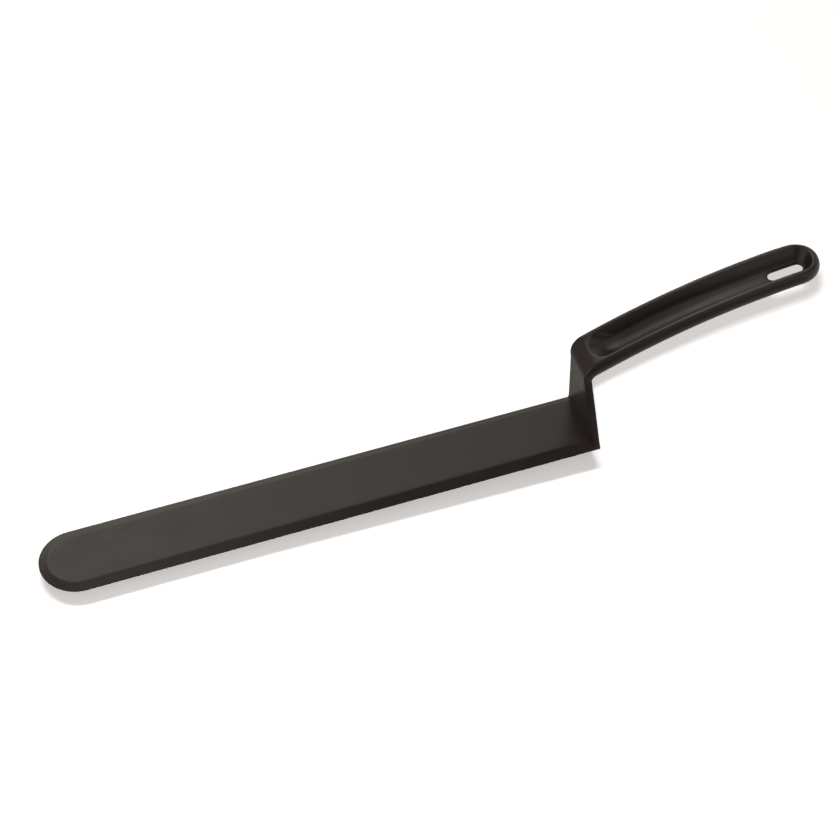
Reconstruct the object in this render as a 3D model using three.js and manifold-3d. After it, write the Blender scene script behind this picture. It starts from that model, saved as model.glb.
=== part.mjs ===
// Cranked spatula: a long bevelled blade with a round tip, an upright riser at its heel, and an
// arched, dished handle with a hanging slot.
// Millimetres, +Z up. The blade lies flat on Z = 0, its tip points to -X and the handle rises
// towards +X. Y = 0 is the plane of symmetry. In the numbers below x is measured from the tip of
// the blade; the group at the end moves the middle of the overall length to the origin.

import * as THREE from 'three';
import { mergeVertices } from 'three/addons/utils/BufferGeometryUtils.js';
import Module from 'manifold-3d';

// ---------------------------------------------------------------- driving dimensions
const LENGTH = 378.6;          // overall, tip to handle end
const GAP = 0.3;               // clearance between neighbouring pieces

// blade
const BLADE_HALF = 17.6;       // half width; also the radius of the round tip
const TIP_T = 1.52;            // thickness at the tip
const T_PER_MM = 0.0086;       // growth of the thickness towards the heel
const BEVEL_RUN = 4.4;         // width of the bevel, on plan, all round the upper edge
const EDGE_LAND = 0.35;        // upright land left under the bevel

// riser: a plate that narrows upwards and leans a little towards the tip
const FRONT_X0 = 263.95, FRONT_K = -0.0855;   // front face  x = X0 + K z
const BACK_X0 = 267.2, BACK_K = -0.076;       // back face
const HEEL_HALF = 17.5;                       // half width on the table
const FOOT_Z = 3, FOOT_HALF = 16.35;          // half width just above the blade
const SEAM_Z = 39.5, SEAM_HALF = 9.46;        // top of the riser, under the handle

// handle: a band of even thickness along an arc
const ARC_X = 403.5, ARC_Z = -285.55, ARC_R = 363.95;  // upper face of the band
const HANDLE_T = 7.7;          // thickness of the band
const HANDLE_HALF = 10.4;      // half width
const SHOULDER_R = 9.0;        // outside radius where the riser turns into the handle
const CORNER_R = 2.5;          // inside radius under the handle
const END_X = 365.7;           // where the rounded end begins

// dish in the upper face, with sloping walls and a hollow floor, and the hanging slot in that floor;
// x0 and x1 are where the two rounded ends begin, front and end how far they reach
const DISH_RIM = { half: 7.7, x0: 271.5, x1: 368.3, front: 6.4, end: 5.8 };
const DISH_FOOT = { half: 4.6, x0: 280.6, x1: 367.6, front: 6.4, end: 3.7 };   // foot of the walls
const DISH_DEPTH = 6.0;        // in the middle
const FLOOR_ROUND = 9.5;       // radius of the hollow floor, across
const SLOT = { half: 2.95, x0: 355.5, x1: 367.6, front: 2.95, end: 2.95 };

// hidden tongues: blade into the riser's foot, riser into the handle's shoulder
const LOW_TONGUE = { half: 11, z0: 1.05, z1: 2.55, x1: 266.0 };
const TOP_TONGUE = { half: 6, x0: 261.65, x1: 263.05, z1: 44.0 };

// ---------------------------------------------------------------- solids
const wasm = await Module();
wasm.setup();

// closed triangle geometry -> solid
function solid(geometry) {
  const g = geometry.clone();
  for (const name of Object.keys(g.attributes)) if (name !== 'position') g.deleteAttribute(name);
  const m = mergeVertices(g, 1e-5);
  return new wasm.Manifold(new wasm.Mesh({
    numProp: 3,
    vertProperties: new Float32Array(m.attributes.position.array),
    triVerts: new Uint32Array(m.index.array),
  }));
}

// solid -> triangle geometry
function geometryOf(body) {
  const m = body.getMesh();
  const g = new THREE.BufferGeometry();
  const p = new Float32Array(m.numVert * 3);
  for (let i = 0; i < m.numVert; i++) for (let k = 0; k < 3; k++) p[i * 3 + k] = m.vertProperties[i * m.numProp + k];
  g.setAttribute('position', new THREE.BufferAttribute(p, 3));
  g.setIndex(new THREE.BufferAttribute(new Uint32Array(m.triVerts), 1));
  g.computeVertexNormals();
  return g;
}

// box between two corners
function box(x0, y0, z0, x1, y1, z1) {
  return solid(new THREE.BoxGeometry(x1 - x0, y1 - y0, z1 - z0)
    .translate((x0 + x1) / 2, (y0 + y1) / 2, (z0 + z1) / 2));
}

// outline drawn in (x, z), extruded across the whole width
function sideSlab(shape, half, curveSegments) {
  const g = new THREE.ExtrudeGeometry(shape, { depth: 2 * half, bevelEnabled: false, curveSegments });
  return solid(g.translate(0, 0, -half).rotateX(Math.PI / 2));
}

// outline drawn in (x, y), extruded upwards
function planSlab(shape, z0, z1, curveSegments) {
  const g = new THREE.ExtrudeGeometry(shape, { depth: z1 - z0, bevelEnabled: false, curveSegments });
  return solid(g.translate(0, 0, z0));
}

// ---------------------------------------------------------------- the profile of riser and handle
const frontX = (z) => FRONT_X0 + FRONT_K * z;
const backX = (z) => BACK_X0 + BACK_K * z;

// circle of radius r that touches the line x = x0 + k z on its +x side and, from inside, the arc of
// radius big: its centre and the two points of contact
function blendCircle(x0, k, r, big) {
  const n = new THREE.Vector2(1, -k).normalize();
  const c = new THREE.Vector2(ARC_X, ARC_Z);
  const centre = (z) => new THREE.Vector2(x0 + k * z, z).addScaledVector(n, r);
  let lo = 20, hi = 60;
  for (let i = 0; i < 60; i++) {
    const mid = (lo + hi) / 2;
    if (centre(mid).distanceTo(c) < big - r) lo = mid; else hi = mid;
  }
  const q = centre((lo + hi) / 2);
  return { q, onLine: q.clone().addScaledVector(n, -r), onArc: c.clone().addScaledVector(q.clone().sub(c).normalize(), big) };
}
const angle = (from, to) => Math.atan2(to.y - from.y, to.x - from.x);

// ---------------------------------------------------------------- blade
function makeBlade() {
  const rootX = frontX(4) - GAP;
  const over = rootX + BEVEL_RUN + 6;
  const plan = new THREE.Shape();
  plan.moveTo(over, -BLADE_HALF);
  plan.lineTo(over, BLADE_HALF);
  plan.lineTo(BLADE_HALF, BLADE_HALF);
  plan.absarc(BLADE_HALF, 0, BLADE_HALF, Math.PI / 2, 1.5 * Math.PI, false);
  plan.lineTo(over, -BLADE_HALF);
  const g = new THREE.ExtrudeGeometry(plan, {
    depth: EDGE_LAND, bevelEnabled: true, bevelSegments: 1,
    bevelThickness: 1, bevelSize: BEVEL_RUN, bevelOffset: -BEVEL_RUN, curveSegments: 24,
  });
  // lift the upper face to the blade's thickness, which grows towards the heel
  const p = g.attributes.position;
  for (let i = 0; i < p.count; i++) {
    if (p.getZ(i) > EDGE_LAND + 0.5) p.setZ(i, TIP_T + T_PER_MM * p.getX(i));
  }
  const body = solid(g).intersect(box(-5, -30, 0, rootX, 30, 20));
  const t = LOW_TONGUE;
  return body.add(box(rootX - 3, -t.half, t.z0, t.x1, t.half, t.z1));
}

// ---------------------------------------------------------------- riser
function makeRiser() {
  const side = new THREE.Shape();
  side.moveTo(frontX(0), 0);
  side.lineTo(backX(0), 0);
  side.lineTo(backX(SEAM_Z), SEAM_Z);
  side.lineTo(frontX(SEAM_Z), SEAM_Z);
  side.lineTo(frontX(0), 0);

  const front = new THREE.Shape();                 // drawn in (y, z)
  front.moveTo(-HEEL_HALF, 0);
  front.lineTo(HEEL_HALF, 0);
  front.lineTo(FOOT_HALF, FOOT_Z);
  front.lineTo(SEAM_HALF, SEAM_Z);
  front.lineTo(-SEAM_HALF, SEAM_Z);
  front.lineTo(-FOOT_HALF, FOOT_Z);
  front.lineTo(-HEEL_HALF, 0);
  const across = new THREE.ExtrudeGeometry(front, { depth: 40, bevelEnabled: false });
  // (y, z, x) -> (x, y, z)
  across.applyMatrix4(new THREE.Matrix4().set(0, 0, 1, 240, 1, 0, 0, 0, 0, 1, 0, 0, 0, 0, 0, 1));

  const low = LOW_TONGUE, top = TOP_TONGUE;
  return sideSlab(side, 20, 1)
    .intersect(solid(across))
    .add(box(top.x0, -top.half, SEAM_Z - 2, top.x1, top.half, top.z1))
    .subtract(box(250, -low.half - GAP, low.z0 - GAP, low.x1 + GAP, low.half + GAP, low.z1 + GAP));
}

// ---------------------------------------------------------------- handle
const crestAngle = (x) => Math.asin((ARC_X - x) / ARC_R);

// point of the bent handle: a = angle along the arc, y across, d = depth below the upper face
function bent(a, y, d) {
  return new THREE.Vector3(ARC_X - (ARC_R - d) * Math.sin(a), y, ARC_Z + (ARC_R - d) * Math.cos(a));
}

// long outline with rounded ends, half of it: from the front end round to the far end, as [angle, y]
function halfOutline({ x0, x1, half, front, end }, along, round) {
  const a0 = crestAngle(x0), a1 = crestAngle(x1), pts = [];
  for (let i = 0; i <= round; i++) {
    const t = (i / round) * Math.PI / 2;
    pts.push([a0 + (front * Math.cos(t)) / ARC_R, half * Math.sin(t)]);
  }
  for (let i = 1; i < along; i++) pts.push([a0 + (a1 - a0) * i / along, half]);
  for (let i = 0; i <= round; i++) {
    const t = (1 - i / round) * Math.PI / 2;
    pts.push([a1 - (end * Math.cos(t)) / ARC_R, half * Math.sin(t)]);
  }
  return pts;
}

// closed loft through such outlines at several depths, bent along the arc
function bentPocket(levels) {
  const rings = levels.map(({ d, ...outline }) => {
    const h = halfOutline(outline, 36, 8);
    const up = h.map(([a, y]) => bent(a, y, d));
    const down = h.slice(1, -1).reverse().map(([a, y]) => bent(a, -y, d));
    return up.concat(down);
  });
  const n = rings[0].length, index = [], xyz = [];
  for (const ring of rings) for (const v of ring) xyz.push(v.x, v.y, v.z);
  for (let k = 0; k + 1 < rings.length; k++) {
    for (let i = 0; i < n; i++) {
      const a = k * n + i, b = k * n + (i + 1) % n, c = a + n, e = b + n;
      index.push(a, b, c, b, e, c);
    }
  }
  const rung = (base, i, flip) => {                 // cap between opposite points of a ring
    const l0 = base + i, l1 = base + i + 1, r0 = base + (n - i) % n, r1 = base + n - i - 1;
    const tri = [];
    if (i > 0) tri.push([l0, r0, l1]);
    if (l1 !== r1) tri.push([l1, i > 0 ? r0 : l0, r1]);
    for (const t of tri) index.push(...(flip ? [t[0], t[2], t[1]] : t));
  };
  for (let i = 0; i < n / 2; i++) { rung(0, i, false); rung((rings.length - 1) * n, i, true); }
  const g = new THREE.BufferGeometry();
  g.setAttribute('position', new THREE.Float32BufferAttribute(xyz, 3));
  g.setIndex(index);
  return g;
}

function makeHandle() {
  const z0 = SEAM_Z + GAP;
  const s = blendCircle(FRONT_X0, FRONT_K, SHOULDER_R, ARC_R);
  const c = blendCircle(BACK_X0, BACK_K, CORNER_R, ARC_R - HANDLE_T);
  const arc = new THREE.Vector2(ARC_X, ARC_Z);
  const endA = Math.PI / 2 + 0.03;

  const side = new THREE.Shape();
  side.moveTo(frontX(z0), z0);
  side.lineTo(s.onLine.x, s.onLine.y);
  side.absarc(s.q.x, s.q.y, SHOULDER_R, angle(s.q, s.onLine), angle(s.q, s.onArc), true);
  side.absarc(ARC_X, ARC_Z, ARC_R, angle(arc, s.onArc), endA, true);
  side.lineTo(ARC_X + (ARC_R - HANDLE_T) * Math.cos(endA), ARC_Z + (ARC_R - HANDLE_T) * Math.sin(endA));
  side.absarc(ARC_X, ARC_Z, ARC_R - HANDLE_T, endA, angle(arc, c.onArc), false);
  side.absarc(c.q.x, c.q.y, CORNER_R, angle(c.q, c.onArc), angle(c.q, c.onLine), false);
  side.lineTo(backX(z0), z0);
  side.lineTo(frontX(z0), z0);

  const plan = new THREE.Shape();
  plan.moveTo(258, -SEAM_HALF);
  plan.lineTo(264, -SEAM_HALF);
  plan.bezierCurveTo(267, -SEAM_HALF, 269, -HANDLE_HALF, 273, -HANDLE_HALF);
  plan.lineTo(END_X, -HANDLE_HALF);
  plan.absellipse(END_X, 0, LENGTH - END_X, HANDLE_HALF, -Math.PI / 2, Math.PI / 2, false, 0);
  plan.lineTo(273, HANDLE_HALF);
  plan.bezierCurveTo(269, HANDLE_HALF, 267, SEAM_HALF, 264, SEAM_HALF);
  plan.lineTo(258, SEAM_HALF);
  plan.lineTo(258, -SEAM_HALF);

  // the floor sinks from the foot of the walls to the middle along an arc of radius FLOOR_ROUND
  const depthAt = (y) => DISH_DEPTH - FLOOR_ROUND + Math.sqrt(FLOOR_ROUND ** 2 - y ** 2);
  const footDepth = depthAt(DISH_FOOT.half);
  // the wall is carried on above the rim so that it cuts cleanly
  const above = { d: -1 };
  for (const k of Object.keys(DISH_RIM)) above[k] = DISH_RIM[k] + (DISH_RIM[k] - DISH_FOOT[k]) / footDepth;
  const hollow = [0.75, 0.5, 0.25, 0.08].map((f) => ({
    ...DISH_FOOT, half: f * DISH_FOOT.half, front: f * DISH_FOOT.front, end: f * DISH_FOOT.end, d: depthAt(f * DISH_FOOT.half),
  }));
  const dish = bentPocket([above, { ...DISH_FOOT, d: footDepth }, ...hollow]);
  const slot = bentPocket([{ ...SLOT, d: DISH_DEPTH - 2 }, { ...SLOT, d: HANDLE_T + 2 }]);

  const t = TOP_TONGUE;
  return sideSlab(side, 14, 16)
    .intersect(planSlab(plan, 30, 90, 16))
    .subtract(solid(dish))
    .subtract(solid(slot))
    .subtract(box(t.x0 - GAP, -t.half - GAP, 30, t.x1 + GAP, t.half + GAP, t.z1 + GAP));
}

// ---------------------------------------------------------------- scene graph
function piece(name, body, color, roughness) {
  const mesh = new THREE.Mesh(geometryOf(body), new THREE.MeshStandardMaterial({ color, roughness, metalness: 0 }));
  mesh.name = name;
  return mesh;
}

const spatula = new THREE.Group();
spatula.position.x = -LENGTH / 2;
spatula.add(piece('blade', makeBlade(), 0x2b2a28, 0.42));
spatula.add(piece('riser', makeRiser(), 0x2a2927, 0.42));
spatula.add(piece('handle', makeHandle(), 0x2a2927, 0.45));

export default spatula;
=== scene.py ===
"""Offset kitchen spatula: a flat bevelled blade, an upright riser at its heel and an arched,
dished handle with a hanging slot, in near-black moulded plastic with a satin surface."""

import math

import bmesh
import bpy
import numpy as np
from mathutils import Matrix, Vector


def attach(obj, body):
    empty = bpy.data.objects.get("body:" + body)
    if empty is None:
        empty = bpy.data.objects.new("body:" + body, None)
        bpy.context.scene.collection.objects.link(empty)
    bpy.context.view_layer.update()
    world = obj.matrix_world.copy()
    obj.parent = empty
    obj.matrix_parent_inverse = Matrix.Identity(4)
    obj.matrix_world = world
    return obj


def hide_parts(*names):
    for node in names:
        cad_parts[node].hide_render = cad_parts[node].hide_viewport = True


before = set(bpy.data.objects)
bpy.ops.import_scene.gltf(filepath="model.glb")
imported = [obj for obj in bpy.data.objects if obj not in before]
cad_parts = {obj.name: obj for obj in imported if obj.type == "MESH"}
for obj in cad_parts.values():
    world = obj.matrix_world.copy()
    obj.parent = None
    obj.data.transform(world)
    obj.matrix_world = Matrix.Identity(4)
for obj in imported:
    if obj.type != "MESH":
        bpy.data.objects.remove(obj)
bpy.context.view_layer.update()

# ---- dimensions in millimetres, X from the blade's tip, Z up from the blade's underside
BLADE_HALF = 17.6
TIP_T, T_PER_MM = 1.52, 0.0086
BEVEL_RUN, EDGE_LAND = 4.40, 0.35
FRONT_X0, FRONT_K = 263.95, -0.0855        # riser front face  X = X0 + K z
BACK_X0, BACK_K = 267.20, -0.0760          # riser back face
RISER_W0, RISER_WK = 16.85, -0.187         # riser half width
SEAM_Z = 39.5
ARC_X, ARC_Z, ARC_R = 403.50, -285.55, 363.95   # crest arc of the handle
HANDLE_T, HANDLE_HALF, GRIP_GROWS = 7.85, 10.42, 0.10
WAIST = 0.25
END_X, END_LEN, END_LEAN = 365.70, 12.60, 0.95
SHOULDER_R, CORNER_R = 9.0, 2.7
RIM_R, RIM_SHOULDER, RIM_END = 1.05, 1.2, 3.0
UNDER_SEAM, UNDER_R, UNDER_END = 0.6, 1.8, 1.6
DISH_HALF, DISH_X0, DISH_X1 = 7.70, 271.5, 368.3
DISH_FRONT, DISH_END, DISH_LEAN = 6.4, 6.5, 0.90    # reach of the dish's two ends, and how square the far one is
DISH_DEPTH, FLOOR_HALF, FLOOR_X0, FLOOR_X1 = 6.0, 4.6, 280.6, 367.6
FLOOR_FRONT, FLOOR_END, FLOOR_ROUND = 6.4, 3.7, 11.0    # the floor is hollow across, with this radius
FLOOR_NARROWS, FLOOR_FLATTENS = 1.0, 0.56    # change of the floor towards the end of the grip
SLOT_HALF, SLOT_X0, SLOT_X1 = 2.90, 355.75, 367.7
SLOT_EDGE = 0.55
FOOT_FILLET = 0.2
KNEE = 3.0
END_REACH = 378.6
CROWN, SIDE_FROM, SIDE_TO = np.radians(24.0), np.radians(75.0), np.radians(110.0)   # slopes of the grip's section
END_TURN = np.radians(-6.0)                # change of those slopes at the very end


def smooth(t):
    t = np.clip(t, 0.0, 1.0)
    return t * t * (3 - 2 * t)


def blade_top(x):
    return TIP_T + T_PER_MM * x


def front_x(z):
    return FRONT_X0 + FRONT_K * z


def back_x(z):
    return BACK_X0 + BACK_K * z


def knee(t):
    """rounds the change of slope where the tapering riser meets the parallel grip"""
    k = -RISER_WK
    return np.where(t < -KNEE, -k * t, np.where(t > KNEE, 0.0, k * (t - KNEE) ** 2 / (4 * KNEE)))


SEAM_HALF = RISER_W0 + RISER_WK * SEAM_Z


def riser_half(z):
    return SEAM_HALF + knee(z - SEAM_Z) + 0.65 * np.exp(-z / 2.0)


def bisect(g, a, b):
    ga = g(a)
    for _ in range(80):
        m = 0.5 * (a + b)
        gm = g(m)
        if (gm > 0) == (ga > 0):
            a, ga = m, gm
        else:
            b = m
    return 0.5 * (a + b)


def tangent_circle(x0, k, rad, big):
    """centre and two touching points of a circle of radius rad that touches the line X = x0 + k z
    on its +X side and, from inside, the circle of radius big about the arc's centre"""
    n = np.array([1.0, -k]) / np.hypot(1, k)
    c = np.array([ARC_X, ARC_Z])

    def at(z):
        return np.array([x0 + k * z, z]) + rad * n

    z = bisect(lambda z: np.hypot(*(at(z) - c)) - (big - rad), 20, 60)
    q = at(z)
    d = (q - c) / np.hypot(*(q - c))
    return q, q - rad * n, c + d * big


def arc_pts(c, a, b, n):
    t0 = np.arctan2(a[1] - c[1], a[0] - c[0])
    t1 = np.arctan2(b[1] - c[1], b[0] - c[0])
    t1 = t0 + (t1 - t0 + np.pi) % (2 * np.pi) - np.pi
    r = np.hypot(*(a - c))
    t = np.linspace(t0, t1, n)
    return np.c_[c[0] + r * np.cos(t), c[1] + r * np.sin(t)]


class Spine:
    """upper line of the handle (front face, shoulder, crest) and the matching lower line,
    by the length s along the upper line from the seam"""

    def __init__(self):
        qs, a, b = tangent_circle(FRONT_X0, FRONT_K, SHOULDER_R, ARC_R)
        qc, a2, b2 = tangent_circle(BACK_X0, BACK_K, CORNER_R, ARC_R - HANDLE_T)
        f0 = np.array([front_x(SEAM_Z), SEAM_Z])
        g0 = np.array([back_x(SEAM_Z), SEAM_Z])
        ang_b = np.arctan2(ARC_X - b[0], b[1] - ARC_Z)
        ang_b2 = np.arctan2(ARC_X - b2[0], b2[1] - ARC_Z)
        ang_e = np.arcsin((ARC_X - END_X) / ARC_R) - END_LEN / ARC_R - 0.0005
        n1, n2, n3 = 20, 200, 1400
        up = np.vstack([np.linspace(f0, a, n1)[:-1], arc_pts(qs, a, b, n2)[:-1]])
        lo = np.vstack([np.linspace(g0, a2, n1)[:-1], arc_pts(qc, a2, b2, n2)[:-1]])
        t = np.linspace(0, 1, n3)
        ang = ang_b + (ang_e - ang_b) * t
        e = np.clip(t / 0.22, 0, 1)
        ang2 = ang + (ang_b2 - ang_b) * (1 - e) ** 2 * (1 + 2 * e)
        r2 = ARC_R - HANDLE_T + WAIST * np.sin(np.pi * np.clip((t - 0.04) / 0.9, 0, 1)) ** 2
        up = np.vstack([up, np.c_[ARC_X - ARC_R * np.sin(ang), ARC_Z + ARC_R * np.cos(ang)]])
        lo = np.vstack([lo, np.c_[ARC_X - r2 * np.sin(ang2), ARC_Z + r2 * np.cos(ang2)]])
        self.s = np.concatenate([[0], np.cumsum(np.hypot(*np.diff(up, axis=0).T))])
        self.up, self.lo = up, lo
        self.s_crest = self.s[n1 + n2 - 2]
        self.ang_b = ang_b

    def s_of_x(self, x):
        return self.s_crest + ARC_R * (self.ang_b - np.arcsin((ARC_X - x) / ARC_R))

    def _ends(self, s):
        return [np.interp(s, self.s, v) for v in (self.up[:, 0], self.up[:, 1], self.lo[:, 0], self.lo[:, 1])]

    def at(self, s, h):
        ux, uz, lx, lz = self._ends(s)
        d = np.hypot(lx - ux, lz - uz)
        return ux + (lx - ux) * h / d, uz + (lz - uz) * h / d

    def depth(self, s):
        ux, uz, lx, lz = self._ends(s)
        return np.hypot(lx - ux, lz - uz)


def wall(u, f, b):
    """rise of the dish's wall: 0 at the floor, 1 at the rim, with a fillet at the foot, where its slope is
    f of the full one, and a rounding over the last part b"""
    a, e = 0.25, 0.12
    k = 1.0 / (1 - (1 - f) * a / 2 - (1 - e) * b / 2)
    v, w = np.maximum(a - u, 0.0), np.maximum(u - 1 + b, 0.0)
    return k * (u - (1 - f) * (a / 2 - v * v / (2 * a)) - (1 - e) * w * w / (2 * b))


def seg(a, b, n):
    return np.linspace(a, b, n, endpoint=False)


N_FRONT, N_RIM, N_SIDE, N_UNDER = 28, 8, 12, 8


def build_handle():
    nF, n1, n2, n3, nE = N_FRONT, 26, 70, 26, 64
    sp = Spine()
    sI0, sI1 = sp.s_of_x(DISH_X0), sp.s_of_x(DISH_X1)
    sB0, sB1 = sp.s_of_x(FLOOR_X0), sp.s_of_x(FLOOR_X1)
    sS0, sS1 = sp.s_of_x(SLOT_X0), sp.s_of_x(SLOT_X1)
    sE = sp.s_of_x(END_X)

    def half(s):
        return SEAM_HALF + knee(s) + (HANDLE_HALF - SEAM_HALF) * smooth(s / 14.0) + GRIP_GROWS * smooth((s - 40.0) / 55.0)

    near = np.concatenate([seg(0, sI0, n1), seg(sI0, sS0, n2), seg(sS0, sE, n3)])
    far = np.concatenate([seg(sE, sS0, n3), seg(sS0, sI0, n2), seg(sI0, 0, n1)])
    ang = seg(-np.pi / 2, np.pi / 2, nE)
    ec, es = np.abs(np.cos(ang)) ** END_LEAN, np.sign(np.sin(ang)) * np.abs(np.sin(ang)) ** END_LEAN

    def by_place(side, end):
        """one value for every point of a ring: side(s) along the sides, end(angle) round the end"""
        return np.concatenate([np.full(nF, side(0.0)), side(near), end(ang), side(far)])

    def rim_side(s):
        return RIM_R + (RIM_SHOULDER - RIM_R) * smooth(s / 9.0) * (1 - smooth((s - 12.0) / 18.0)) \
            + 0.25 * (RIM_END - RIM_R) * smooth((s - (sE - 8)) / 8.0)

    rim = by_place(rim_side, lambda a: RIM_R + (RIM_END - RIM_R) * (0.25 + 0.75 * np.abs(np.cos(a)) ** 1.5))
    under = by_place(lambda s: UNDER_SEAM + (UNDER_R - UNDER_SEAM) * smooth(s / 14.0) + 0.4 * smooth((s - (sE - 18)) / 16.0),
                     lambda a: UNDER_R + 0.4 + (UNDER_END - UNDER_R - 0.4) * np.cos(a) ** 2)

    full = by_place(lambda s: smooth((s - 3.0) / 12.0), lambda a: 1.0 + 0 * a)   # 0 = plain rounded edge, 1 = barrel side

    tip = by_place(lambda s: 0.0 * s, lambda a: np.abs(np.cos(a)) ** 0.7)   # 1 at the very end of the grip

    def side_rows(high):
        """insets and depths from the rim's outer edge down to the flat underside: a small rounding, the
        slightly bulging side, the rounding below; blended into a plain upright side at the seam"""
        c0, c1, c2 = CROWN, SIDE_FROM + END_TURN * tip, SIDE_TO + END_TURN * tip
        y1, d1 = rim * (np.sin(c1) - np.sin(c0)), rim * (np.cos(c0) - np.cos(c1))
        big = (high - d1 - under * (1 + np.cos(c2))) / (np.cos(c1) - np.cos(c2))
        y2, d2 = y1 + big * (np.sin(c2) - np.sin(c1)), d1 + big * (np.cos(c1) - np.cos(c2))
        wide = y1 + big * (1 - np.sin(c1))
        rows = [(wide, 0.0 * rim, rim, 0.0 * rim, 0.8)]
        for k in range(1, N_RIM + 1):
            f = k / N_RIM
            t, a = c0 + (c1 - c0) * f, np.pi / 2 * f
            rows.append((wide - rim * (np.sin(t) - np.sin(c0)), rim * (np.cos(c0) - np.cos(t)), rim * (1 - np.sin(a)), rim * (1 - np.cos(a)), 1.0 - 0.7 * f * f))
        for k in range(1, N_SIDE + 1):
            f = k / N_SIDE
            t = c1 + (c2 - c1) * f
            rows.append((wide - y1 - big * (np.sin(t) - np.sin(c1)), d1 + big * (np.cos(c1) - np.cos(t)), 0.0 * rim, rim + (high - under - rim) * f, 0.3 * np.exp(-f * 8)))
        for k in range(1, N_UNDER + 1):
            f = k / N_UNDER
            t, a = c2 + (np.pi - c2) * f, np.pi / 2 * f
            rows.append((wide - y2 - under * (np.sin(t) - np.sin(c2)), d2 + under * (np.cos(c2) - np.cos(t)), under * (1 - np.cos(a)), high - under * (1 - np.sin(a)), 0.5 * np.sin(2 * a)))
        return [(o * full + o2 * (1 - full), d * full + d2_ * (1 - full), w) for o, d, o2, d2_, w in rows]

    def outer(o):
        """outline of the handle moved in by o along its sides and end: seam line, near side, end, far side"""
        o = np.broadcast_to(o, (nF + 2 * (n1 + n2 + n3) + nE,))
        k = nF + n1 + n2 + n3
        y0 = half(0.0) - o[0]
        s = [np.zeros(nF), near, sE + (END_LEN - o[k:k + nE]) * ec, far]
        y = [seg(y0, -y0, nF), -(half(near) - o[nF:k]), (half(sE) - o[k:k + nE]) * es, half(far) - o[k + nE:]]
        return np.concatenate(s), np.concatenate(y)

    def inner(c0, c1, r, l0, l1):
        """long outline of half width r between c0 and c1 with ends that reach l0 and l1 further, its points
        matched to the outer outline"""
        a = np.linspace(0, np.pi, nF + 2 * n1 + 1)
        fs, fy = c0 - l0 * np.sin(a), r * np.cos(a)
        ic, iy = np.abs(np.cos(ang)) ** DISH_LEAN, np.sign(np.sin(ang)) * np.abs(np.sin(ang)) ** DISH_LEAN
        sn = c0 + (c1 - c0) * (near[n1:] - sI0) / (sE - sI0)
        sf = c0 + (c1 - c0) * (far[:n3 + n2] - sI0) / (sE - sI0)
        s = [fs[n1:n1 + nF], fs[n1 + nF:-1], sn, c1 + l1 * ic, sf, fs[:n1]]
        y = [fy[n1:n1 + nF], fy[n1 + nF:-1], np.full_like(sn, -r), r * iy, np.full_like(sf, r), fy[:n1]]
        return np.concatenate(s), np.concatenate(y)

    def slot(r):
        k = n1 + n2
        a = np.linspace(0, np.pi, nF + 2 * k + 1)
        fs, fy = sS0 - r * np.sin(a), r * np.cos(a)
        sn, sf = seg(sS0, sS1, n3), seg(sS1, sS0, n3)
        s = [fs[k:k + nF], fs[k + nF:-1], sn, sS1 + r * np.cos(ang), sf, fs[:k]]
        y = [fy[k:k + nF], fy[k + nF:-1], np.full_like(sn, -r), r * np.sin(ang), np.full_like(sf, r), fy[:k]]
        return np.concatenate(s), np.concatenate(y)

    rings, worn = [], []

    def add(s, y, d, w=0.0):
        rings.append((s, y, np.broadcast_to(d, s.shape).astype(float)))
        worn.append(np.broadcast_to(w, s.shape).astype(float))

    fd, er = DISH_DEPTH, SLOT_EDGE

    def later(s):
        return smooth((s - sp.s_of_x(295.0)) / 50.0)

    def narrow(s):
        return 1 - FLOOR_NARROWS / FLOOR_HALF * later(s)

    def floor_r(s):
        return FLOOR_ROUND / (1 - FLOOR_FLATTENS * later(s) * (1 - smooth((s - sS1) / 3.0)))

    def floor_depth(s, y):
        over = np.maximum((sB0 - s) / FLOOR_FRONT, (s - sB1) / FLOOR_END)
        q = np.minimum(FLOOR_HALF, np.hypot(y / narrow(s), FLOOR_HALF * np.maximum(over, 0.0)))
        return fd - floor_r(s) + np.sqrt(floor_r(s) ** 2 - q ** 2)

    for a in np.linspace(0, np.pi / 2, 6):
        s, y = slot(SLOT_HALF + er * (1 - np.cos(a)))
        add(s, y, floor_depth(s, y) + er * (1 - np.sin(a)), 0.8 * np.sin(2 * a))
    s0, y0 = slot(SLOT_HALF + er)
    sb, yb = inner(sB0, sB1, FLOOR_HALF, FLOOR_FRONT, FLOOR_END)
    yb = yb * narrow(sb)
    si, yi = inner(sI0, sI1, DISH_HALF, DISH_FRONT, DISH_END)
    for t in np.linspace(0, 1, 31)[1:]:
        s, y = s0 + (sb - s0) * t, y0 + (yb - y0) * t
        add(s, y, floor_depth(s, y))
    foot = floor_depth(sb, yb)
    reach = np.where(sb < sB0, FLOOR_FRONT, np.where(sb > sB1, FLOOR_END, FLOOR_HALF))
    lean = np.hypot((sb - np.clip(sb, sB0, sB1)) / reach ** 2, yb / FLOOR_HALF ** 2) * FLOOR_HALF ** 2
    lean = lean / np.sqrt(floor_r(sb) ** 2 - FLOOR_HALF ** 2)      # slope of the floor where the wall begins
    fill = np.clip(np.maximum(lean * np.hypot(si - sb, yi - yb) / (1.1 * foot), 0.65 * later(sb)), 0.1, 0.9)
    for t in np.linspace(0, 1, 37)[1:]:
        u = t + 0.06 * np.sin(2 * np.pi * t) * -1.0       # closer rows at the foot and at the top
        add(sb + (si - sb) * u, yb + (yi - yb) * u, foot * (1 - wall(u, fill, 0.10 + 0.10 * tip)), 0.4 * (1 - 0.8 * tip) * smooth((u - 0.90) / 0.08))
    H = sp.depth
    s, y = outer(0.0)
    rows = side_rows(H(s))
    so, yo = outer(rows[0][0])
    gap = np.hypot(so - si, yo - yi)
    for t in np.linspace(0, 1, 21)[1:]:
        near_edge = np.exp(-np.minimum(t, 1 - t) * gap / 0.35)
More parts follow.
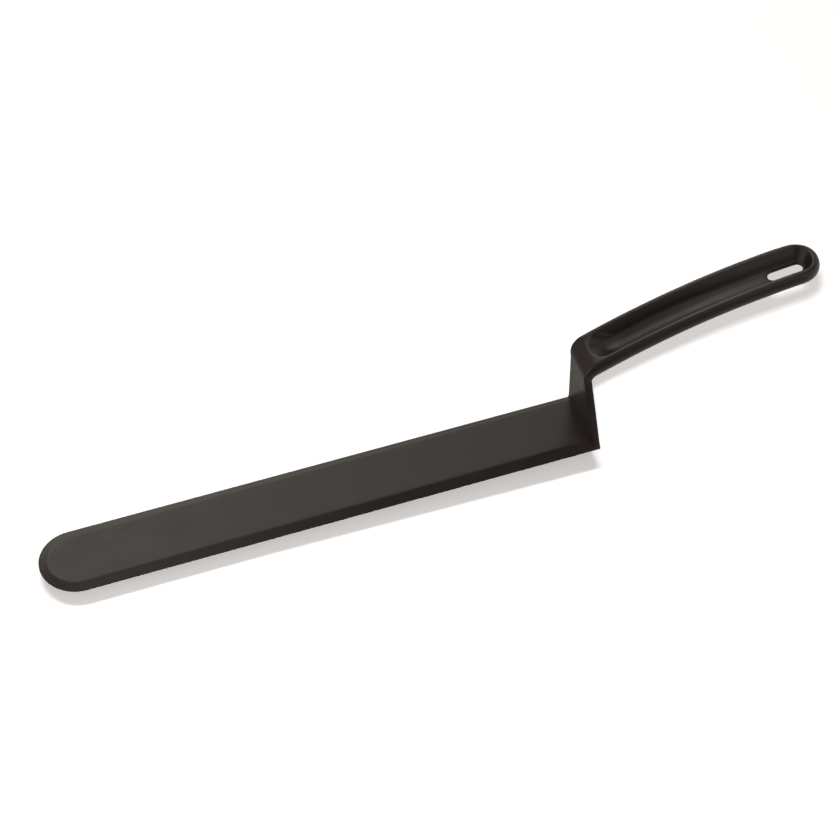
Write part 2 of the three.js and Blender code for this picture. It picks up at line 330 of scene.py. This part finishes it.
        rise = full * np.minimum(gap, 1.6) * np.tan(CROWN) * t * (1 - t)
        add(si + (so - si) * t, yi + (yo - yi) * t, -rise, 0.4 * (1 - 0.6 * tip) * near_edge)
    first_cap = len(rings) - 1
    for o, d, w in rows[1:]:
        s, y = outer(o)
        add(s, y, d, w)
    last_cap = len(rings) - 1
    s2, y2 = outer(rows[-1][0])
    s3, y3 = slot(SLOT_HALF + er)
    for t in np.linspace(0, 1, 41)[1:]:
        ss, yy = s2 + (s3 - s2) * t, y2 + (y3 - y2) * t
        add(ss, yy, H(ss))
    for a in np.linspace(0, np.pi / 2, 6)[1:]:
        s, y = slot(SLOT_HALF + er * (1 - np.sin(a)))
        add(s, y, H(s) - er * (1 - np.cos(a)), 0.8 * np.sin(2 * a))
    s, y = slot(SLOT_HALF)
    for t in (0.25, 0.5, 0.75):
        add(s, y, H(s) - er + (floor_depth(s, y) + er - H(s) + er) * t)
    pts = []
    for s, y, d in rings:
        x, z = sp.at(s, d)
        pts.append(np.c_[x, y, z])
    pts = np.array(pts)
    m, n = pts.shape[:2]
    faces, cap = [], []
    for i in range(m):
        i2 = (i + 1) % m
        for j in range(n):
            j2 = (j + 1) % n
            faces.append((i * n + j, i * n + j2, i2 * n + j2, i2 * n + j))
            cap.append(first_cap <= i < last_cap and j < nF)
    return pts.reshape(-1, 3), faces, np.concatenate(worn), cap


def section(f, b, w, rf, rb):
    """rounded rectangle: front face from +Y to -Y, near side, back face, far side; also its wear"""
    x, y, v = [], [], []

    def put(xx, yy, vv):
        x.append(np.broadcast_to(xx, np.shape(yy)) if np.ndim(xx) == 0 else xx)
        y.append(np.broadcast_to(yy, np.shape(xx)) if np.ndim(yy) == 0 else yy)
        v.append(np.broadcast_to(vv, np.shape(y[-1])))

    t = np.linspace(0, 1, N_FRONT + 1)
    ya = (w - rf) * (1 - 2 * t)
    put(f, ya, 0.8 * np.exp(-(w - rf - np.abs(ya)) / 0.35))
    a = np.linspace(0, np.pi / 2, N_RIM + 1)[1:]
    put(f + rf * (1 - np.cos(a)), -(w - rf) - rf * np.sin(a), 1.0 - 0.7 * (a / (np.pi / 2)) ** 2)
    t = np.linspace(0, 1, N_SIDE + 1)[1:]
    put(f + rf + (b - rb - f - rf) * t, -w, 0.3 * np.exp(-t * 8))
    a = np.linspace(0, np.pi / 2, N_UNDER + 1)[1:]
    put(b - rb * (1 - np.sin(a)), -(w - rb * (1 - np.cos(a))), 0.5 * np.sin(2 * a))
    t = np.linspace(0, 1, N_FRONT + 1)[1:]
    put(b, -(w - rb) * (1 - 2 * t), 0.0)
    a = np.linspace(np.pi / 2, 0, N_UNDER + 1)[1:]
    put(b - rb * (1 - np.sin(a)), (w - rb * (1 - np.cos(a))), 0.5 * np.sin(2 * a))
    t = np.linspace(1, 0, N_SIDE + 1)[1:]
    put(f + rf + (b - rb - f - rf) * t, w, 0.3 * np.exp(-t * 8))
    a = np.linspace(np.pi / 2, 0, N_RIM + 1)[1:-1]
    put(f + rf * (1 - np.cos(a)), (w - rf) + rf * np.sin(a), 1.0 - 0.7 * (a / (np.pi / 2)) ** 2)
    return np.concatenate(x), np.concatenate(y), np.concatenate(v)


def build_riser():
    zs = np.concatenate([[0.0, 0.04, 0.12], np.linspace(0.35, 6, 17), np.linspace(6, SEAM_Z, 62)[1:]])
    rings, worn = [], []
    for z in zs:
        w = float(riser_half(z))
        o = 0.12 - np.sqrt(max(0.0, 0.12 ** 2 - (0.12 - min(z, 0.12)) ** 2))   # small round at the foot
        rf = 0.15 + (RIM_R - 0.15) * float(smooth((z - 0.5) / 4.0))
        rb = 0.5 + (UNDER_SEAM - 0.5) * float(smooth((z - 20) / 19.5))
        x, y, v = section(front_x(z) + o, back_x(z) - o, w - o, rf, rb)
        rings.append(np.c_[x, y, np.full_like(x, z)])
        worn.append(v)
    pts = np.array(rings)
    m, n = pts.shape[:2]
    faces, cap = [], []
    for i in range(m - 1):
        for j in range(n):
            j2 = (j + 1) % n
            faces.append((i * n + j, (i + 1) * n + j, (i + 1) * n + j2, i * n + j2))
            cap.append(False)

    def lid(base, up):
        """closes one end with strips that run across from the front to the back"""
        k = N_FRONT
        side = N_RIM + N_SIDE + N_UNDER
        fr = [base + j for j in range(k + 1)]
        nr = [base + k + j for j in range(side + 1)]
        bk = [base + k + side + j for j in range(k + 1)]
        fa = [base + (2 * k + side + j) % n for j in range(side + 1)]
        ring = fr[:-1] + nr[:-1] + bk[:-1] + fa[:-1]
        return tuple(ring if up else ring[::-1])

    faces.append(lid(0, True))
    cap.append(True)
    faces.append(lid((m - 1) * n, False))
    cap.append(True)
    return pts.reshape(-1, 3), faces, np.concatenate(worn), cap


def build_blade():
    R = BLADE_HALF
    r = FOOT_FILLET
    # distances from the root, close together at the fillet
    d = np.concatenate([r * (1 - np.cos(np.linspace(0, np.pi / 2, 10))), np.linspace(r, 12, 14)[1:], np.linspace(12, FRONT_X0 - R, 105)[1:-1]])
    nx, nt = len(d), 72
    xs = FRONT_X0 - d
    th = np.linspace(np.pi / 2, 3 * np.pi / 2, nt + 1)
    dd = np.concatenate([d, np.full(nt + 1, 1e3), d[::-1]])

    def outline(o):
        x = np.concatenate([xs, R + (R - o) * np.cos(th), xs[::-1]])
        y = np.concatenate([np.full(nx, R - o), (R - o) * np.sin(th), np.full(nx, -(R - o))])
        return x, y

    def rise(f):
        """fillet against the riser's front face"""
        t = np.clip(dd / r, 0, 1)
        return f * r * (1 - np.sqrt(np.maximum(0, 1 - (1 - t) ** 2)))

    rings, worn = [], []

    def add(x, y, z, f=0.0, w=0.0):
        z = np.broadcast_to(z, x.shape) + rise(f)
        x = x + FRONT_K * z * np.clip(1 - dd / 8.0, 0, 1) ** 2
        rings.append(np.c_[x, y, z])
        worn.append(np.broadcast_to(w, x.shape).astype(float))

    x0, y0 = outline(0.0)
    xm = np.maximum(x0, R)
    for k in (0.0, 0.25, 0.5, 0.75):
        add(xm + (x0 - xm) * k, y0 * k, 0.0)
    e = 0.10
    for a in np.linspace(0, np.pi / 2, 5):
        x, y = outline(e * (1 - np.sin(a)))
        add(x, y, e * (1 - np.cos(a)), 0.0, 0.6)
    # bevel section: land, rounded lower edge, sloping face, rounded upper edge, top
    x1, _ = outline(BEVEL_RUN)
    top = blade_top(x1)
    slope = (top - EDGE_LAND) / BEVEL_RUN
    for t in (0.0, 0.35, 0.7):
        x, y = outline(0.02 * t)
        add(x, y, EDGE_LAND - 0.09 * (1 - t), 0.0, 0.6)
    soft = 0.55                                # half length of the rounding at the upper edge
    for o in np.concatenate([[0.06, 0.16, 0.35], np.linspace(0.7, BEVEL_RUN - soft, 9)]):
        x, y = outline(o)
        add(x, y, EDGE_LAND + slope * o, float(smooth((o - 0.3) / 1.5)), 0.6 * np.exp(-o / 0.4))
    for t in np.linspace(-1, 1, 9)[1:]:
        o = BEVEL_RUN + soft * t
        x, y = outline(o)
        xx, _ = outline(BEVEL_RUN + soft)
        z = EDGE_LAND + slope * BEVEL_RUN - slope * soft * (1 - t) ** 2 / 4
        flat = blade_top(x)
        z = np.where(t >= 0.999, flat, z + (flat - top) * (0.5 + 0.5 * t))
        add(x, y, z, 1.0, 0.8 * (1 - abs(t)))
    x2, y2 = outline(BEVEL_RUN + soft)
    xm = np.maximum(x2, R)
    for k in (0.8, 0.6, 0.4, 0.2, 0.0):
        x = xm + (x2 - xm) * k
        add(x, y2 * k, blade_top(x), 1.0)
    pts = np.array(rings)
    m, n = pts.shape[:2]
    faces, cap = [], []
    for i in range(m - 1):
        for j in range(n - 1):
            faces.append((i * n + j, i * n + j + 1, (i + 1) * n + j + 1, (i + 1) * n + j))
            cap.append(False)
    faces.append(tuple(i * n for i in range(m)))
    cap.append(True)
    faces.append(tuple(i * n + n - 1 for i in range(m))[::-1])
    cap.append(True)
    return pts.reshape(-1, 3), faces, np.concatenate(worn), cap


def weld(pts, faces, worn, cap, tol=1e-4):
    """joins points that coincide and drops faces that have collapsed"""
    key = np.round(pts / tol).astype(np.int64)
    _, first, back = np.unique(key, axis=0, return_index=True, return_inverse=True)
    back = np.ravel(back)
    out, flags = [], []
    for f, c in zip(faces, cap):
        g = [int(back[i]) for i in f]
        g = [v for i, v in enumerate(g) if v != g[i - 1]]
        if len(g) > 2:
            out.append(tuple(g))
            flags.append(c)
    return pts[first], out, worn[first], flags


# ---- pieces

TIP_SHIFT = -0.5 * (END_REACH)              # the frame's origin is at the middle of the overall length


def make_piece(name, node, built, material, flip):
    pts, faces, worn, cap = weld(*built)
    co = (pts + np.array([TIP_SHIFT, 0.0, 0.0])) * 1e-3
    mesh = bpy.data.meshes.new(name)
    bm = bmesh.new()
    layer = bm.verts.layers.float.new("wear")
    verts = []
    for p, w in zip(co, worn):
        v = bm.verts.new(p)
        v[layer] = float(w)
        verts.append(v)
    for f, c in zip(faces, cap):
        face = bm.faces.new([verts[i] for i in (f[::-1] if flip else f)])
        face.smooth = not c
    for e in bm.edges:
        e.smooth = all(f.smooth for f in e.link_faces)
    bm.normal_update()
    bm.to_mesh(mesh)
    bm.free()
    mesh.materials.append(material)
    obj = bpy.data.objects.new(name, mesh)
    bpy.context.scene.collection.objects.link(obj)
    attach(obj, "root")
    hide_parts(node)
    return obj


def node(tree, kind, place=(0, 0), **settings):
    n = tree.nodes.new(kind)
    n.location = place
    for k, v in settings.items():
        setattr(n, k, v)
    return n


def satin_plastic():
    """near-black moulded plastic: fine grain, faint lengthwise flow, patchy sheen, edges a little
    paler and smoother than the faces"""
    mat = bpy.data.materials.new("satin_black_plastic")
    mat.use_nodes = True
    t = mat.node_tree
    t.nodes.clear()
    out = node(t, "ShaderNodeOutputMaterial", (900, 0))
    bsdf = node(t, "ShaderNodeBsdfPrincipled", (600, 0))
    bsdf.inputs["IOR"].default_value = PLASTIC_IOR
    t.links.new(bsdf.outputs["BSDF"], out.inputs["Surface"])
    where = node(t, "ShaderNodeTexCoord", (-1500, 0)).outputs["Object"]

    def noise(scale, detail, rough, place, stretch=None):
        n = node(t, "ShaderNodeTexNoise", place)
        n.inputs["Scale"].default_value = scale
        n.inputs["Detail"].default_value = detail
        n.inputs["Roughness"].default_value = rough
        src = where
        if stretch:
            m = node(t, "ShaderNodeMapping", (place[0] - 200, place[1]))
            m.inputs["Scale"].default_value = stretch
            t.links.new(where, m.inputs["Vector"])
            src = m.outputs["Vector"]
        t.links.new(src, n.inputs["Vector"])
        return n.outputs["Fac"]

    def math_node(op, a, b, place, clamp=False):
        n = node(t, "ShaderNodeMath", place, operation=op, use_clamp=clamp)
        for k, v in enumerate((a, b)):
            if isinstance(v, (int, float)):
                n.inputs[k].default_value = v
            else:
                t.links.new(v, n.inputs[k])
        return n.outputs[0]

    def scaled(value, lo, hi, to_lo, to_hi, place):
        n = node(t, "ShaderNodeMapRange", place, clamp=True)
        for k, v in zip(("From Min", "From Max", "To Min", "To Max"), (lo, hi, to_lo, to_hi)):
            n.inputs[k].default_value = v
        t.links.new(value, n.inputs["Value"])
        return n.outputs["Result"]

    patches = noise(38, 5, 0.62, (-1200, 500))
    flow = noise(1, 3, 0.55, (-1200, 200), (22, 420, 420))
    grain = noise(3600, 2, 0.6, (-1200, -100))
    pits = noise(1300, 3, 0.7, (-1200, -400))
    wear = node(t, "ShaderNodeAttribute", (-1200, -700), attribute_name="wear").outputs["Fac"]
    rubbed = noise(160, 4, 0.7, (-1200, -900))

    # colour: slow variation over the faces, paler rubbed edges
    base = node(t, "ShaderNodeMix", (0, 300), data_type="RGBA")
    base.inputs[6].default_value = (*COLOUR_LOW, 1)
    base.inputs[7].default_value = (*COLOUR_HIGH, 1)
    tone = math_node("ADD", scaled(patches, 0.3, 0.7, 0.0, 0.7, (-600, 500)), scaled(flow, 0.3, 0.7, 0.0, 0.3, (-600, 250)), (-250, 400), True)
    t.links.new(tone, base.inputs[0])
    edge = node(t, "ShaderNodeMix", (250, 300), data_type="RGBA")
    edge.inputs[7].default_value = (*COLOUR_EDGE, 1)
    worn = math_node("MULTIPLY", wear, scaled(rubbed, 0.35, 0.65, 0.25, 1.0, (-600, -900)), (-250, -700), True)
    t.links.new(math_node("MULTIPLY", worn, 0.6, (0, -700)), edge.inputs[0])
    t.links.new(base.outputs[2], edge.inputs[6])
    t.links.new(edge.outputs[2], bsdf.inputs["Base Color"])

    # gloss: satin, patchy, smoother on the edges
    r = scaled(patches, 0.3, 0.7, ROUGH - 0.055, ROUGH + 0.055, (-600, 0))
    r = math_node("ADD", r, scaled(flow, 0.3, 0.7, -0.03, 0.03, (-600, -200)), (-250, 0))
    r = math_node("ADD", r, scaled(grain, 0.3, 0.7, -0.02, 0.02, (-600, -400)), (0, 0))
    r = math_node("SUBTRACT", r, math_node("MULTIPLY", worn, 0.06, (0, -500)), (250, 0), True)
    t.links.new(r, bsdf.inputs["Roughness"])

    # relief: moulded grain with scattered shallow pits
    fine = node(t, "ShaderNodeBump", (300, -400))
    fine.inputs["Strength"].default_value = 0.35
    fine.inputs["Distance"].default_value = 0.00001
    t.links.new(grain, fine.inputs["Height"])
    pit = node(t, "ShaderNodeBump", (0, -300))
    pit.inputs["Strength"].default_value = 0.35
    pit.inputs["Distance"].default_value = 0.00002
    t.links.new(scaled(pits, 0.25, 0.45, 0.0, 1.0, (-250, -400)), pit.inputs["Height"])
    t.links.new(pit.outputs["Normal"], fine.inputs["Normal"])
    t.links.new(fine.outputs["Normal"], bsdf.inputs["Normal"])
    return mat


PLASTIC_IOR = 1.5
ROUGH = 0.32
COLOUR_LOW, COLOUR_HIGH = (0.0164, 0.0091, 0.0095), (0.0236, 0.0135, 0.0138)
COLOUR_EDGE = (0.034, 0.024, 0.022)

plastic = satin_plastic()
blade_plate = make_piece("blade_plate", "blade", build_blade(), plastic, False)
riser_upright = make_piece("riser_upright", "riser", build_riser(), plastic, True)
handle_grip = make_piece("handle_grip", "handle", build_handle(), plastic, True)

# ---- floor: plain and pale, curving up far away

def pale_floor():
    r = np.concatenate([[0.0, 0.3, 0.8, 1.5, 2.2], 2.2 + 1.6 * np.sin(np.linspace(0.1, np.pi / 2, 14)), [3.8]])
    z = np.concatenate([np.zeros(5), 1.6 * (1 - np.cos(np.linspace(0.1, np.pi / 2, 14))), [4.0]])
    n = 96
    bm = bmesh.new()
    rows = []
    for rr, zz in zip(r, z):
        if rr == 0:
            rows.append([bm.verts.new((0, 0, zz))] * n)
        else:
            rows.append([bm.verts.new((rr * math.cos(2 * math.pi * j / n), rr * math.sin(2 * math.pi * j / n), zz)) for j in range(n)])
    for a, b in zip(rows, rows[1:]):
        for j in range(n):
            ring = [a[j], b[j], b[(j + 1) % n], a[(j + 1) % n]]
            ring = [v for i, v in enumerate(ring) if v is not ring[i - 1]]
            bm.faces.new(ring).smooth = True
    mesh = bpy.data.meshes.new("studio_floor")
    bm.to_mesh(mesh)
    bm.free()
    mat = bpy.data.materials.new("pale_paper")
    mat.use_nodes = True
    t = mat.node_tree
    bsdf = t.nodes["Principled BSDF"]
    bsdf.inputs["Base Color"].default_value = (*FLOOR_COLOUR, 1)
    bsdf.inputs["Roughness"].default_value = 0.9
    bsdf.inputs["Specular IOR Level"].default_value = 0.0
    bsdf.inputs["Emission Color"].default_value = (1, 1, 1, 1)
    bsdf.inputs["Emission Strength"].default_value = FLOOR_GLOW
    mesh.materials.append(mat)
    obj = bpy.data.objects.new("studio_floor", mesh)
    obj.location.z = -0.0025
    bpy.context.scene.collection.objects.link(obj)
    obj.visible_diffuse = obj.visible_glossy = obj.visible_shadow = False
    return obj


FLOOR_COLOUR, FLOOR_GLOW = (0.2, 0.195, 0.193), 0.0
floor = pale_floor()

# ---- light: a sky of soft lobes, each with a direction (degrees from +Y towards +X, degrees above
# the floor), a tightness and a strength

LOBES = [
    (-15, 25, 15, 0.75), (15, 25, 15, 0.65), (45, 25, 15, 0.45), (0, 4, 15, 0.55),
    (0, 75, 18, 0.33), (90, 70, 15, 0.47), (0, 90, 15, 0.33), (-130, 35, 6, 0.14),
    (-90, 15, 5, 0.78), (90, 15, 5, 0.45), (0, -50, 6, 0.12), (0, -90, 4, 0.21),
    (165, -50, 6, 0.03), (-90, -40, 5, 0.37), (90, -40, 5, 0.46), (160, 18, 20, 0.25),
    (150, -2, 15, 0.73), (166, 30, 20, 0.24), (-4, 50, 45, 2.10), (6, 50, 45, 0.07),
    (178, 22, 30, 0.35),
]
SKY_TINT = (1.08, 1.03, 0.93)


def toward(around, above):
    a, e = math.radians(around), math.radians(above)
    return Vector((math.cos(e) * math.sin(a), math.cos(e) * math.cos(a), math.sin(e)))


def soft_sky(lobes):
    world = bpy.data.worlds.new("soft_studio")
    bpy.context.scene.world = world
    world.use_nodes = True
    t = world.node_tree
    t.nodes.clear()
    out = node(t, "ShaderNodeOutputWorld", (900, 0))
    sky = node(t, "ShaderNodeBackground", (700, 0))
    t.links.new(sky.outputs[0], out.inputs["Surface"])
    way = node(t, "ShaderNodeTexCoord", (-900, 0)).outputs["Generated"]
    total = None
    for k, (axis, tight, power) in enumerate(lobes):
        y = -220 * k
        dot = node(t, "ShaderNodeVectorMath", (-650, y), operation="DOT_PRODUCT")
        dot.inputs[1].default_value = Vector(axis).normalized()
        t.links.new(way, dot.inputs[0])
        fall = node(t, "ShaderNodeMath", (-450, y), operation="MULTIPLY_ADD")
        fall.inputs[1].default_value = tight
        fall.inputs[2].default_value = -tight
        t.links.new(dot.outputs["Value"], fall.inputs[0])
        lobe = node(t, "ShaderNodeMath", (-250, y), operation="EXPONENT")
        t.links.new(fall.outputs[0], lobe.inputs[0])
        level = node(t, "ShaderNodeMath", (-50, y), operation="MULTIPLY_ADD")
        level.inputs[1].default_value = power
        level.inputs[2].default_value = 0.0
        t.links.new(lobe.outputs[0], level.inputs[0])
        if total is not None:
            t.links.new(total, level.inputs[2])
        total = level.outputs[0]
    sky.inputs["Color"].default_value = (*SKY_TINT, 1)
    t.links.new(total, sky.inputs["Strength"])
    return world


soft_sky([(toward(a, e), k, p) for a, e, k, p in LOBES])


AIM = Vector((192.83 + TIP_SHIFT, 27.98, 0.0)) * 1e-3     # point of the floor in the middle of the picture


def floor_light(light, obj, shading):
    """lets a light fall on the floor alone, with the given pieces shading it"""
    name = light.name
    bpy.context.scene.collection.objects.link(obj)
    lit, blocking = bpy.data.collections.new(name + "_lit"), bpy.data.collections.new(name + "_blocking")
    lit.objects.link(floor)
    for piece in shading:
        blocking.objects.link(piece)
    obj.light_linking.receiver_collection = lit
    obj.light_linking.blocker_collection = blocking


def floor_panel(name, around, above, away, wide, high, level, shading):
    light = bpy.data.lights.new(name, "AREA")
    light.shape = "RECTANGLE"
    light.size, light.size_y = wide, high
    light.energy = level * math.pi ** 2 * away ** 2 / (FLOOR_COLOUR[0] * math.sin(math.radians(above)))
    obj = bpy.data.objects.new(name, light)
    obj.location = AIM + away * toward(around, above)
    obj.rotation_euler = toward(around, above).to_track_quat("Z", "Y").to_euler()
    floor_light(light, obj, shading)


def floor_lamp(name, around, above, away, radius, level, shading):
    light = bpy.data.lights.new(name, "POINT")
    light.shadow_soft_size = radius
    light.energy = level * 4 * math.pi ** 2 * away ** 2 / (FLOOR_COLOUR[0] * math.sin(math.radians(above)))
    obj = bpy.data.objects.new(name, light)
    obj.location = AIM + away * toward(around, above)
    floor_light(light, obj, shading)


floor_lamp("front_lamp", -159.2, 54.1, 1.38, 0.036, 0.485, [riser_upright, handle_grip])
floor_lamp("back_lamp", 10.0, 30.0, 1.0, 0.1, 0.045, [])
floor_panel("low_panel", 3.0, 25.0, 8.0, 4.2, 0.35, 0.515, [blade_plate])

# ---- camera

cam = bpy.data.cameras.new("camera")
cam.sensor_fit = "HORIZONTAL"
cam.sensor_width = 36.0
cam.lens = 36.0 * 2900.0 / 838.0
cam.clip_start, cam.clip_end = 0.01, 50.0
camera = bpy.data.objects.new("camera", cam)
el, az = math.radians(49.42), math.radians(-19.51)
right = Vector((math.cos(az), math.sin(az), 0.0))
back = Vector((math.sin(az) * math.cos(el), -math.cos(az) * math.cos(el), math.sin(el)))
place = AIM + back * 1.37546
back = (back + right * (0.5 / 2900) - back.cross(right) * (0.5 / 2900)).normalized()
right = (right - back * right.dot(back)).normalized()
up = back.cross(right)
camera.matrix_world = Matrix((
    (right.x, up.x, back.x, place.x),
    (right.y, up.y, back.y, place.y),
    (right.z, up.z, back.z, place.z),
    (0, 0, 0, 1),
))
bpy.context.scene.collection.objects.link(camera)
bpy.context.scene.camera = camera
bpy.context.scene.view_settings.view_transform = "Standard"

bpy.context.view_layer.update()
